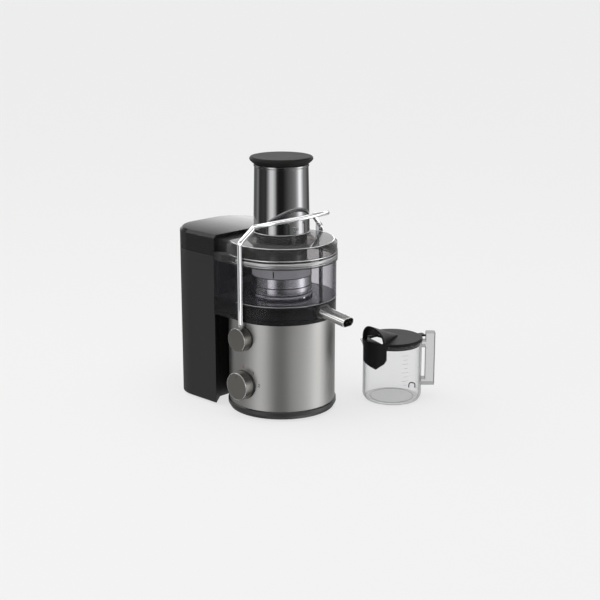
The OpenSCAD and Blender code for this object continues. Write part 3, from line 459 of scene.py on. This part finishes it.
def turned(name, outlines, body, slot, centre=(0, 0), arcs=None, paint=None, forward=False, steps=160):
    """Turns closed outlines of (radius, along) in millimetres about an upright axis through centre, or about
    an axis towards the front. arcs are the parts of a turn to make, in degrees."""
    bm = bmesh.new()
    for outline in outlines:
        for start, end in arcs or [(0, 360)]:
            whole = end - start >= 360
            count = max(4, round(steps * (end - start) / 360))
            rings = []
            for i in range(count if whole else count + 1):
                a = math.radians(start + (end - start) * i / count)
                ring = []
                for r, z in outline:
                    c, d = r * math.cos(a), r * math.sin(a)
                    spot = (centre[0] + c, -z, centre[1] + d) if forward else (centre[0] + c, centre[1] + d, z)
                    ring.append(bm.verts.new(Vector(spot) * MM))
                rings.append(ring)
            loops(bm, rings, whole)
    return mesh_object(name, bm, body, slot, paint=paint)


def bead(r, z, w, h, sides=10):
    """Outline of an oval bead."""
    return [
        (r + w / 2 * math.cos(k * 2 * math.pi / sides), z + h / 2 * math.sin(k * 2 * math.pi / sides))
        for k in range(sides)
    ]


def band(low_r, high_r, low_z, high_z):
    """Outline of a flat band with eased corners."""
    e = min(high_r - low_r, high_z - low_z) * 0.25
    return [
        (low_r + e, low_z), (high_r - e, low_z), (high_r, low_z + e), (high_r, high_z - e),
        (high_r - e, high_z), (low_r + e, high_z), (low_r, high_z - e), (low_r, low_z + e),
    ]


def fillet(a, b, c, radius, steps=10):
    """Points of a round bend where a path from a by way of b turns towards c."""
    u, v = (a - b).normalized(), (c - b).normalized()
    half = u.angle(v) / 2
    start, end = b + u * radius / math.tan(half), b + v * radius / math.tan(half)
    centre = b + (u + v).normalized() * radius / math.sin(half)
    x = (start - centre) / radius
    turn = math.pi - 2 * half
    y = -u
    angles = (turn * i / steps for i in range(steps + 1))
    return [centre + radius * (x * math.cos(a) + y * math.sin(a)) for a in angles]


def swept(name, path, size, flat, body, slot, paint=None, sides=20):
    """A rod along path in millimetres; size(t) is its (width, thickness), the thickness along flat."""
    bm = bmesh.new()
    rings, n = [], len(path)
    side = None
    for i, p in enumerate(path):
        d = (path[min(i + 1, n - 1)] - path[max(i - 1, 0)]).normalized()
        if side is None:
            side = d.cross(Vector((0.3, 1, 0.2))).normalized()
        side = (side - d * side.dot(d)).normalized()
        up = d.cross(side)
        width, thick = size(i / (n - 1))
        ring = []
        for k in range(sides):
            a = 2 * math.pi * k / sides
            q = (side * math.cos(a) + up * math.sin(a)) * width / 2
            q += flat * (q.dot(flat) * (thick / width - 1))
            ring.append(bm.verts.new((p + q) * MM))
        rings.append(ring)
    loops(bm, rings, False)
    return mesh_object(name, bm, body, slot, paint=paint)


def strip(bm, points, width, wrap, lift):
    """A flat printed stroke through 2D points, laid on a surface by wrap(x, y, height)."""
    for (x0, y0), (x1, y1) in zip(points, points[1:]):
        length = math.hypot(x1 - x0, y1 - y0)
        nx, ny = -(y1 - y0) / length * width / 2, (x1 - x0) / length * width / 2
        ex, ey = (x1 - x0) / length * width / 3, (y1 - y0) / length * width / 3
        corners = [
            (x0 - ex + nx, y0 - ey + ny), (x1 + ex + nx, y1 + ey + ny),
            (x1 + ex - nx, y1 + ey - ny), (x0 - ex - nx, y0 - ey - ny),
        ]
        low = [bm.verts.new(wrap(x, y, 0.0)) for x, y in corners]
        high = [bm.verts.new(wrap(x, y, lift)) for x, y in corners]
        bm.faces.new(high)
        bm.faces.new(low[::-1])
        for k in range(4):
            q = (k + 1) % 4
            bm.faces.new((low[k], low[q], high[q], high[k]))


def on_drum(centre, radius, azimuth, z):
    """Lays flat print round an upright drum; x runs round it, y runs up."""
    def wrap(x, y, lift):
        a = math.radians(azimuth) + x / radius
        r = radius + lift
        return Vector((centre[0] + r * math.cos(a), centre[1] + r * math.sin(a), z + y)) * MM
    return wrap


def box_mm(node):
    low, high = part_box(node)
    return low / MM, high / MM


# ---------------------------------------------------------------- bail
low, high = box_mm("bail_rod")
LEG_W, LEG_T, LEG_STEPS, LEG_BEND = 10.0, 5.2, 10, 11
BOW_R, BOW_T, BOW_RISE, BOW_REACH, BOW_STEPS, BOW_BEND, BOW_LEAD = 70, 7.6, 20.5, 74, 64, 6, 4
SHOULDER_X, SHOULDER_DROP, CORNER_DROP = 6.3, 22.6, 24.2
leg_y, foot_z, tip_z = high.y - LEG_T / 2, low.z, high.z
inward = Vector((SHOULDER_X, -BOW_R, tip_z - SHOULDER_DROP))
corner = Vector((0, -leg_y, inward.z - CORNER_DROP))
slope = math.atan2(BOW_RISE, BOW_REACH)
ahead = Vector((math.cos(slope), 0, math.sin(slope)))
start = inward + ahead * BOW_LEAD
leg_top = corner.z - 12
half_path = [Vector((0, -leg_y, foot_z + (leg_top - foot_z) * i / LEG_STEPS)) for i in range(LEG_STEPS)]
half_path += fillet(half_path[0], corner, inward, LEG_BEND) + fillet(corner, inward, start, BOW_BEND)
arch = [
    start + BOW_R * (ahead * math.sin(a) + Vector((0, 1 - math.cos(a), 0)))
    for a in (math.pi * i / BOW_STEPS for i in range(1, BOW_STEPS))
]
bail_path = half_path + arch + [Vector((p.x, -p.y, p.z)) for p in reversed(half_path)]


def bail_size(t):
    """A leg is wide along X and thin along Y; the bow is round."""
    bow = min(1.0, max(0.0, (min(t, 1 - t) - 0.10) / 0.12))
    bow = bow * bow * (3 - 2 * bow)
    return LEG_W + (BOW_T - LEG_W) * bow, LEG_T + (BOW_T - LEG_T) * bow


bail = swept("bail_bar", bail_path, bail_size, Vector((0, 1, 0)), "bail", "chrome")
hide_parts("bail_rod")

# ---------------------------------------------------------------- edges and seams of the clear parts, with painted highlight and shadow lines
low, high = box_mm("lid")
# The lid's middle is lid_x to the right of the drum's, and its beads stay bead_in inside its outline
lid_x, bead_in, seam = 0.8, 0.8, low.z
lid_r = high.x - lid_x - bead_in
lid_flat, band_top = seam + 34, seam + 15.5
FRONT_ARC, RIM_ARC = [(-118, 118)], [(-100, 100)]
# The bright beads on the lid's edges and the pale band inside its rim are painted highlights; lid_band_shadow
# is a painted shadow line
for name, outline, arcs, paint in (
    ("lid_top_edge", bead(lid_r - 5.2, lid_flat - 0.3, 1.8, 1.2), FRONT_ARC, "bright_metal_and_highlight"),
    ("lid_band_edge", bead(lid_r + 0.1, band_top - 1.2, 1.5, 2.2), FRONT_ARC, "bright_metal_and_highlight"),
    ("lid_band_shadow", bead(lid_r + 0.2, band_top - 3.4, 0.6, 1.0), FRONT_ARC, "dark_line"),
    ("lid_seam_line", bead(lid_r + 0.3, seam + 0.6, 0.7, 1.2), FRONT_ARC, "dark_line"),
    ("lid_rim_gleam", band(lid_r + 0.3, lid_r + 0.92, seam + 4.9, seam + 10.6), RIM_ARC, "painted_rim_gleam"),
    ("lid_seam_edge", bead(lid_r + 0.1, seam + 3.2, 1.1, 1.7), FRONT_ARC, "bright_metal_and_highlight"),
):
    turned(name, [outline], "housing", "lid_smoke", (lid_x, 0), arcs, paint)

collar_z = seam + 47.2
# A painted highlight ring on the tube's collar, with a painted shadow line under it
turned("tube_collar", [bead(47.6, collar_z, 1.8, 1.6)], "housing", "tube_smoke", paint="soft_highlight")
turned("tube_collar_shadow", [bead(47.7, collar_z - 1.6, 1.6, 1.4)], "housing", "tube_smoke", paint="dark_line")

low, high = box_mm("juice_collector")
bowl_r, bowl_top = high.x, high.z
# A painted highlight ring along the chamber's foot
turned("chamber_foot_edge", [bead(bowl_r - 0.3, bowl_top + 0.6, 1.0, 1.0)], "housing", "chamber_clear",
       arcs=RIM_ARC, paint="soft_highlight")
turned("collector_top_line", [bead(bowl_r - 0.2, bowl_top - 0.9, 0.8, 1.1)], "housing", "collector_smoke",
       arcs=[(-102, 102)], paint="dark_line")

# ---------------------------------------------------------------- basket
low, high = box_mm("basket_frame")
ring_r, drum_top = high.x, high.z
QUARTERS = (0, 90, 180, 270)
turned("basket_lines",
       [bead(ring_r - 0.8, drum_top + 0.1, 1.1, 1.3), bead(ring_r - 0.7, drum_top - 16.4, 1.6, 1.2),
        bead(ring_r - 0.2, drum_top - 28.4, 1.2, 1.3)],
       "spinner", "basket_silver", paint="dark_line")
turned("basket_skirt", [band(ring_r + 0.2, ring_r + 1.0, drum_top - 39.4, drum_top - 28.8)],
       "spinner", "basket_silver", paint="skirt_finish")
turned("basket_foot", [band(ring_r + 0.6, ring_r + 2.0, drum_top - 46.4, drum_top - 39.8)],
       "spinner", "basket_silver")
turned("basket_slits",
       [band(ring_r - 0.2, ring_r + 0.15, drum_top - 27, drum_top - 17),
        band(ring_r + 1.8, ring_r + 2.2, drum_top - 46, drum_top - 40.2)],
       "spinner", "basket_silver", arcs=[(a - 76.8, a - 75.3) for a in QUARTERS], paint="dark_line")
turned("rim_ribs", [band(ring_r - 0.6, ring_r + 0.2, drum_top + 2.5, drum_top + 13)],
       "spinner", "basket_clear", arcs=[(a - 62, a - 60) for a in QUARTERS], paint="dark_line")
turned("basket_clips", [band(ring_r + 0.6, ring_r + 1.6, drum_top - 37.5, drum_top - 32)],
       "spinner", "basket_silver", arcs=[(-2, 2), (178, 182)], paint="bright_metal_and_highlight")

# ---------------------------------------------------------------- knobs and dial
low, high = box_mm("speed_dial")
dial_face, dial_z, dial_r = -low.y, (low.z + high.z) / 2, (high.z - low.z) / 2
# A painted highlight ring round the edge of the dial's face
turned("dial_edge", [bead(dial_r - 0.9, dial_face - 0.9, 1.3, 1.3)], "dial", "gunmetal", (0, dial_z),
       paint="soft_highlight", forward=True)
low, high = box_mm("front_pivot_knob")
pivot_z, pivot_r = (low.z + high.z) / 2, (high.z - low.z) / 2
# Painted highlight rings round the faces of the front and rear knobs
for place, sign in (("front", 1), ("rear", -1)):
    low, high = box_mm(place + "_pivot_knob")
    face_y = (-low.y if sign > 0 else high.y) * sign
    turned(place + "_knob_edge", [bead(pivot_r - 0.7, face_y - 0.6 * sign, 1.1, 1.1)], "bail", "gunmetal",
           (0, pivot_z), paint="soft_highlight", forward=True)

low, high = box_mm("metal_shell")
shell_r = high.x
STROKE, PRINT = 0.7, 0.12


def dial_print(name, marks, slot, paint):
    """Marks of the dial, each as (points, turn round the drum in degrees, height above the dial)."""
    bm = bmesh.new()
    for points, azimuth, rise in marks:
        strip(bm, points, STROKE, on_drum((0, 0), shell_r, azimuth, dial_z + rise), PRINT)
    mesh_object(name, bm, "housing", slot, smooth=False, paint=paint)


NOUGHT = [(1.5 * math.cos(k * math.pi / 8), 2.3 * math.sin(k * math.pi / 8)) for k in range(17)]
ONE = [(-0.9, 1.5), (0, 2.3), (0, -2.3)]
TWO = [(-1.4, 1.2), (-0.8, 2.1), (0.3, 2.3), (1.2, 1.6), (1.1, 0.5), (-1.5, -2.3), (1.5, -2.3)]
dial_print("dial_mark_off", [(NOUGHT, -90.6, 30.6)], "plunger_plastic", "print_red")
dial_print("dial_marks", [(ONE, -77, 23.3), (TWO, -70.2, 3.4)], "black_plastic", "dark_line")

# ---------------------------------------------------------------- jug
low, high = box_mm("jug_body")
jug = ((low.x + high.x) / 2, (low.y + high.y) / 2)
jug_r, jug_top = (high.x - low.x) / 2, high.z
turned("jug_foot_line", [bead(37.4, 3.3, 0.9, 0.7)], "jug", "jug_clear", jug, paint="print_grey")
turned("jug_base_line", [bead(jug_r - 4.6, 1.8, 0.8, 0.8)], "jug", "jug_clear", jug, paint="print_pale")
# Print on the jug: turns round it in degrees, heights in millimetres
JUG_PRINT = 0.08
SCALE_TURN, SCALE_LOW, SCALE_STEP = -22, 30, 7.5
DOTS_TURN, DOTS_LOW, DOTS_STEP = 14, 24, 13
bm = bmesh.new()
for k in range(9):
    length = 8 if k % 2 == 0 else 5
    wrap = on_drum(jug, jug_r, SCALE_TURN, SCALE_LOW + SCALE_STEP * k)
    for left, right in ((-length, -length / 3), (-length / 6, length / 2)):
        strip(bm, [(left, 0), (right, 0)], 0.6, wrap, JUG_PRINT)
mesh_object("jug_scale", bm, "jug", "jug_clear", smooth=False, paint="print_pale")
bm = bmesh.new()
for k in range(6):
    strip(bm, [(-0.7, 0), (0.7, 0)], 1.2, on_drum(jug, jug_r, DOTS_TURN, DOTS_LOW + DOTS_STEP * k), JUG_PRINT)
mesh_object("jug_scale_dots", bm, "jug", "jug_clear", smooth=False, paint="print_grey")

# The pouring lip: a tongue of the wall that swells outwards towards the rim
LIP_STEPS, LIP_OUT, LIP_IN = 8, 0.1, -0.9
LIP_DEEP, LIP_TALL, LIP_REACH = 15, 14.6, 5.2
lip = math.radians(-136)
out, across = Vector((math.cos(lip), math.sin(lip), 0)), Vector((-math.sin(lip), math.cos(lip), 0))
bm = bmesh.new()
rings = []
for k in range(LIP_STEPS + 1):
    u = k / LIP_STEPS
    spread, reach, z = 3 + 9 * u, LIP_REACH * u ** 1.6, jug_top - LIP_DEEP + LIP_TALL * u
    ring = []
    for skin, order in ((LIP_OUT, range(13)), (LIP_IN, range(12, -1, -1))):
        for j in order:
            t = -1 + j / 6
            bulge = reach * (1 - t * t) + math.sqrt(max(jug_r ** 2 - (spread * t) ** 2, 0))
            ring.append(Vector((jug[0], jug[1], z)) + out * (bulge + skin) + across * spread * t)
    rings.append([bm.verts.new(p * MM) for p in ring])
loops(bm, rings, False)
mesh_object("jug_lip", bm, "jug", "jug_clear")

# The small hook at the jug's wall: bends as turns in degrees and heights
HOOK_R = 47.2
HOOK_BENDS = ((-12, 31), (-12, 35), (-11, 38), (-7, 39), (-2, 38), (4, 36), (7, 33), (8, 27))
hook = [
    Vector((jug[0] + HOOK_R * math.cos(math.radians(a)), jug[1] + HOOK_R * math.sin(math.radians(a)), z))
    for a, z in HOOK_BENDS
]
swept("jug_hook", hook, lambda t: (2.0, 2.0), Vector((0, 0, 1)), "jug", "black_plastic",
      paint="dark_line", sides=10)

# The edge of the hood's arch, from just above one foot to just above the other
hood = math.radians(-94)
hood_dir, hood_side = Vector((math.cos(hood), math.sin(hood), 0)), Vector((-math.sin(hood), math.cos(hood), 0))
low, high = box_mm("jug_lid")
crown = Vector((*jug, high.z))
HOOD_R, HOOD_REACH = 27.2, 53.4
arch_line = []
for k in range(25):
    a = math.pi * (0.04 + 0.92 * k / 24)
    sideways, up = HOOD_R * math.cos(a), Vector((0, 0, HOOD_R * math.sin(a)))
    forward = math.sqrt(HOOD_REACH ** 2 - sideways ** 2) - 0.3
    arch_line.append(crown + hood_dir * forward + hood_side * sideways + up)
swept("hood_edge", arch_line, lambda t: (1.5, 1.5), Vector((0, 0, 1)), "jug_cover", "black_plastic", sides=10)
